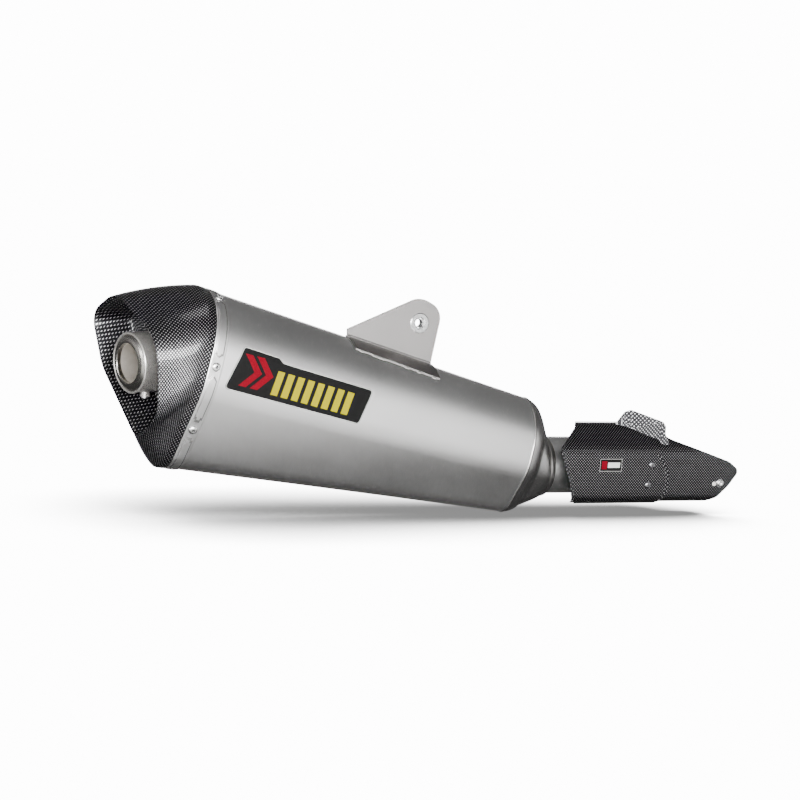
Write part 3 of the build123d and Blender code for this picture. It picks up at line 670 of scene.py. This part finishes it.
def make_end_cap():
    """Straight skirt behind the band, swelling wall and rounded rim, then back down inside."""
    first, back = SLEEVE_LENGTH + 0.1, SLEEVE_LENGTH + CAP_SKIRT
    inset = -1.7
    rings = [skirt_ring(first, 0.0), skirt_ring(first, 0.6), skirt_ring(SLEEVE_LENGTH + 0.6, 0.95)]
    rings += [skirt_ring(s, BAND_THICKNESS) for s in (SLEEVE_LENGTH + 2, SLEEVE_LENGTH + 5, back - 1.4)]
    foot, lip = skirt_ring(back, BAND_THICKNESS), rim_ring(0.9, 0.0)
    foot_out = skirt_ring(back, BAND_THICKNESS + 1) - foot
    lip_out = rim_ring(0.9, 1.0) - lip
    for t in np.linspace(0.02, 1, 22):
        swell = 4 * CAP_BULGE * t * (1 - t)
        rings.append((foot + swell * foot_out) * (1 - t) + (lip + swell * lip_out) * t)
    edge = [(0.4, -0.2), (0.1, -0.5), (0, -1), (0.1, -1.5), (0.4, -1.8), (1, -CAP_WALL)]
    rings += [rim_ring(depth, grow) for depth, grow in edge]
    inner_foot = skirt_ring(back, inset)
    inner_lip = rings[-1]
    for t in np.linspace(0.9, 0, 8):
        swell = 4 * CAP_BULGE * t * (1 - t)
        rings.append((inner_foot + swell * foot_out) * (1 - t) + (inner_lip + swell * lip_out) * t)
    rings += [skirt_ring(first, inset)]
    cap = skin("EndCap", rings, closed_along=True, zero=CAP_ZERO, smooth_angle=28, even=True)
    return dress(cap, carbon_cap, "silencer", "carbon", "end_cap_shell")


def make_recess():
    """Sloping wall and flat floor of the recess, with the outlet's hole in it."""
    edge, slope = -CAP_WALL - 0.05, 12 / RECESS_DEPTH
    wall = [(0.6, edge)] + [(d, edge - slope * d) for d in np.linspace(2, RECESS_DEPTH - 4, 12)]
    corner = [(RECESS_DEPTH - 2.6, -13.6), (RECESS_DEPTH - 1.7, -14.9), (RECESS_DEPTH - 1.5, -17)]
    rings = [rim_ring(d, g) for d, g in wall]
    flats = [(d, rounded(RIM, RIM_R, g, **CAP_STEPS)) for d, g in corner]
    rings += [on_rim(d, flat) for d, flat in flats]
    last = flats[-1][1]
    spoke = last - OUTLET_IN_RIM
    hole = OUTLET_IN_RIM + (PIPE_RADIUS + 0.7) * spoke / np.linalg.norm(spoke, axis=1)[:, None]
    rings += [on_rim(RECESS_DEPTH - 1.5, last * (1 - t) + hole * t) for t in (0.4, 0.8, 1)]
    rings += [on_rim(RECESS_DEPTH - 0.1, hole), on_rim(RECESS_DEPTH - 0.1, last)]
    rings += [rim_ring(d + 0.4, g + 0.6) for d, g in reversed(wall[1:])]
    liner = skin("RecessLiner", rings, closed_along=True, zero=CAP_ZERO, smooth_angle=35)
    return dress(liner, carbon_recess, "silencer", "carbon", "recess_liner")


def make_rivet(name, place, outward, radius, height, metal):
    """Domed rivet with the dark stub of its stem in the middle."""
    r, h = radius, height
    head = [(r, 0.05), (r, 0.25), (0.93 * r, 0.5 * h), (0.72 * r, 0.83 * h), (0.45 * r, h),
            (0.36 * r, 0.97 * h), (0.32 * r, 0.3 * h), (0.32 * r, 0.05)]
    stub = [(0.32 * r, 0.3 * h), (0.3 * r, 0.52 * h), (0.02, 0.56 * h)]
    dome = lathe(name, head, place, outward, steps=32, smooth_angle=50)
    dome.data.materials.append(metal)
    stem = lathe(name + "Stem", stub, place, outward, steps=24, closed=False)
    stem.data.materials.append(dark_steel)
    return [dome, stem]


def make_band_rivets():
    s = SLEEVE_LENGTH - BAND_WIDTH / 2
    flat, near, far = (body_section(k, BAND_THICKNESS, arc_steps=2, side_steps=2) for k in (s, s - 1, s + 1))
    parts = []
    for i in range(6):
        k = 4 * i + 3      # middle of the side; the first side's rivet is nearer to its end
        along = on_body(s, flat[k - 1])[0] - on_body(s, flat[(k + 1) % 24])[0]
        back = on_body(s + 1, far[k])[0] - on_body(s - 1, near[k])[0]
        outward = np.cross(along, back)
        place = on_body(s, flat[k] * 0.2 + flat[k + 1] * 0.8 if i == 0 else flat[k])[0]
        outward /= np.linalg.norm(outward)
        if outward @ (place - on_body(s, (0, 0))[0]) < 0:
            outward = -outward
        parts += make_rivet(f"BandRivet{i}", place, outward, 4.6, 2.0, rivet_metal)
    return dress(join("BandRivets", parts), None, "silencer", "rivet", "band_rivets")


make_sleeve()
make_front_cap()
make_seam_weld()
make_collar_weld()
make_end_band()
make_end_cap()
make_recess()
make_band_rivets()

# ------------------------------------------------------------------ heat shield
SHIELD_SECTION = np.array([(7, 46), (-21, 48), (-45, 21), (-42.5, -36), (-10, -39)], float)
SHIELD_LEAN = (SHIELD_SECTION[3][0] - SHIELD_SECTION[2][0]) / (SHIELD_SECTION[2][1] - SHIELD_SECTION[3][1])
SHIELD_OUT = np.array([0, -1, -SHIELD_LEAN]) / hypot(1, SHIELD_LEAN)
WING_YAW = radians(18.5)


def beside_section(point):
    """Distance to the shield's section, and the nearest side's start, direction and arc length."""
    best, run = None, 0.0
    for a, b in zip(SHIELD_SECTION, SHIELD_SECTION[1:]):
        size = np.linalg.norm(b - a)
        along = (b - a) / size
        t = np.clip((point[1:] - a) @ along, 0, size)
        off = np.linalg.norm(point[1:] - a - t * along)
        if best is None or off < best[0]:
            best = (off, a, along, run)
        run += size
    return best


def is_wing(point):
    return point[2] > 27 and point[0] > -80 and beside_section(point)[0] > 5.5


def shield_weave(points):
    """x along the shield and the arc length round its bent section; the wing has its own plane."""
    middle = points.mean(axis=0)
    if is_wing(middle):
        return [(p[0] * cos(WING_YAW) - p[1] * sin(WING_YAW), p[2]) for p in points]
    _, start, along, run = beside_section(middle)
    return [(p[0], run + (p[1:] - start) @ along) for p in points]


shield_rear = weave_copy("ShieldRear", "shield_rear_panel", shield_weave)
dress(shield_rear, carbon_shield, "silencer", "carbon", "shield_rear_panel")
shield_rear.data.materials.append(carbon_wing)
for face in shield_rear.data.polygons:
    point = np.array(face.center) / MM
    if is_wing(point):
        face.material_index = 1
SHIELD_EDGES = {
    "Rear": [(-149, 20), (-146.5, 17), (-134.5, -14), (-131, -33)],
    "Front": [(-27, 17), (-16.5, 0), (-14.6, -10), (-15.2, -24), (-22, -33)],
}


def shield_edge(name, way, width):
    """Strip of open weave along a cut edge of the rear panel, which shows its tows brightly."""
    way = np.array(way, float)
    steps = np.r_[0, np.cumsum(np.linalg.norm(np.diff(way, axis=0), axis=1))]
    run = np.linspace(0, steps[-1], 25)
    line = np.stack([np.interp(run, steps, way[:, k]) for k in (0, 1)], axis=1)
    verts, faces, uvs = [], [], []
    for k, (x, z) in enumerate(line):
        verts += [on_shield(x, z, 0.12), on_shield(x + width, z, 0.12)]
        if k:
            faces.append((2 * k - 2, 2 * k - 1, 2 * k + 1, 2 * k))
            uvs += [(0, run[k - 1]), (abs(width), run[k - 1]), (abs(width), run[k]), (0, run[k])]
    return dress(mesh_object(name, verts, faces, uvs), carbon_wing, "silencer", "carbon")


dress(weave_copy("ShieldNose", "shield_nose_panel", shield_weave), carbon_shield, "silencer", "carbon",
      "shield_nose_panel")


def on_shield(x, z, lift=0.0):
    """Point on the shield's flat side, lifted outboard."""
    y = SHIELD_SECTION[2][0] + (SHIELD_SECTION[2][1] - z) * SHIELD_LEAN
    return np.array([x, y, z]) + SHIELD_OUT * lift


shield_edge("ShieldEdgeRear", SHIELD_EDGES["Rear"], 3.2)
shield_edge("ShieldEdgeFront", SHIELD_EDGES["Front"], -3.6)
shield_rivet_parts = []
for number, (x, z) in enumerate(((-37, 5.5), (-40, -16))):
    rivet_name = f"ShieldRivet{number}"
    shield_rivet_parts += make_rivet(rivet_name, on_shield(x, z), SHIELD_OUT, 3.8, 1.8, dark_rivet)
dress(join("ShieldRivets", shield_rivet_parts), None, "silencer", "rivet", "shield_rivets")


# ------------------------------------------------------------------ labels, generic graphics only
# corners of the large plate, station and height
LABEL = [(352.5, 41.5), (312, 38.8), (306.5, 34.6), (201, 30), (208.8, -7.7), (364.5, -4.5)]
LABEL_LIFT = 0.42            # graphics stand this far off the surface, just clear of the plate


def on_side(s, h, lift):
    """Point on the body's outboard side at station s and height h, lifted off it."""
    ring = body_section(s, lift, arc_steps=24, side_steps=12)
    outboard = ring[ring[:, 0] > 20]
    outboard = outboard[np.argsort(outboard[:, 1])]
    v = np.interp(h, outboard[:, 1], outboard[:, 0])
    return on_body(s, (v, h))[0]


def patch(name, outline, place, material):
    """Flat outline laid onto a surface: place(u, v) gives the point."""
    spacing = 5.0
    bm = bmesh.new()
    bm.faces.new([bm.verts.new((u, v, 0)) for u, v in outline])
    bmesh.ops.triangulate(bm, faces=bm.faces)
    for _ in range(5):
        long_edges = [e for e in bm.edges if e.calc_length() > spacing]
        if not long_edges:
            break
        bmesh.ops.subdivide_edges(bm, edges=long_edges, cuts=1)
        bmesh.ops.triangulate(bm, faces=bm.faces)
    for v in bm.verts:
        v.co = Vector(place(v.co.x, v.co.y)) * MM
    mesh = bpy.data.meshes.new(name)
    bm.to_mesh(mesh)
    bm.free()
    mesh.shade_smooth()
    obj = bpy.data.objects.new(name, mesh)
    bpy.context.scene.collection.objects.link(obj)
    obj.data.materials.append(material)
    return obj


def strip_patch(name, outer, inner, place, material):
    """Closed strip between two outlines of equal length."""
    n = len(outer)
    verts = [place(*p) for p in outer] + [place(*p) for p in inner]
    faces = [(i, (i + 1) % n, n + (i + 1) % n, n + i) for i in range(n)]
    obj = mesh_object(name, verts, faces)
    obj.data.materials.append(material)
    return obj


def label_graphics():
    """Pale edge, two nested chevrons and eight slanted bars; outlines use minus the station."""
    def place(u, h):
        return on_side(-u, h, LABEL_LIFT)

    corners = [(-s, h) for s, h in LABEL]
    edge, inset = (rounded(corners, [4] * 6, grow, arc_steps=8, side_steps=24) for grow in (-0.35, -1.0))
    parts = [strip_patch("LabelEdge", edge, inset, place, label_pale)]
    low, high, arm = 2.0, 34.5, 8.5
    middle = (low + high) / 2
    for k, shift in enumerate((0.0, 13.0)):
        tip, back = 336.0 - shift, 350.0 - shift
        points = [(-back, high), (arm - back, high), (arm - tip, middle), (arm - back, low),
                  (-back, low), (-tip, middle)]
        parts.append(patch(f"LabelChevron{k}", points, place, label_red))
    bar_count, bar_pitch = 8, 11.6
    for k in range(bar_count):
        u = bar_pitch * k - 309.0
        low, high = 0.5 - 0.25 * k, 25.5 - 0.45 * k
        points = [(u - 1.5, high), (u + 6.0, high - 0.3), (u + 3.2, low), (u - 4.3, low + 0.3)]
        parts.append(patch(f"LabelBar{k}", points, place, label_yellow))
    return dress(join("LabelGraphics", parts), None, "silencer", "label")


def box(u0, v0, u1, v1):
    return [(u0, v0), (u0, v1), (u1, v1), (u1, v0)]


def shield_label_graphics():
    """Pale edge, a red block and a pale bar on the small plate."""
    x, z = -87.0, 5.5

    def face(u, v):
        return on_shield(x + u, z + v, LABEL_LIFT)

    edge, inset = box(-13.1, -6.6, 13.1, 6.6), box(-12.85, -6.35, 12.85, 6.35)
    parts = [strip_patch("ShieldLabelEdge", edge, inset, face, label_pale),
             patch("ShieldLabelMark", box(-11.0, -4.4, -4.8, 4.4), face, label_red),
             patch("ShieldLabelBar", box(-3.6, -2.8, 10.8, 2.8), face, label_pale)]
    return dress(join("ShieldLabelGraphics", parts), None, "silencer", "label")


label_graphics()
shield_label_graphics()


# ------------------------------------------------------------------ bracket's fold
def make_fold():
    """Bend where the bracket's plate turns into its foot."""
    rings = []
    for s in np.linspace(121, 220, 12):
        ring = body_section(s, 1.5, arc_steps=24, side_steps=12)
        top = ring[(ring[:, 1] > 20) & (np.abs(ring[:, 0]) < 40)]
        top = top[np.argsort(top[:, 0])]
        h = np.interp(0.6, top[:, 0], top[:, 1])
        turns = [2 * pi * k / 16 for k in range(16)]
        loop = [(0.3 + 1.5 * cos(t), h + 0.3 + 1.5 * sin(t)) for t in turns]
        rings.append(on_body(s, np.array(loop)))
    # shrunken end rings close the bead
    ends = [ring.mean(axis=0) + 0.02 * (ring - ring.mean(axis=0)) for ring in (rings[0], rings[-1])]
    rings = ends[:1] + rings + ends[1:]
    return dress(skin("BracketFold", rings, smooth_angle=60), bracket_metal, "silencer", "bracket")


make_fold()
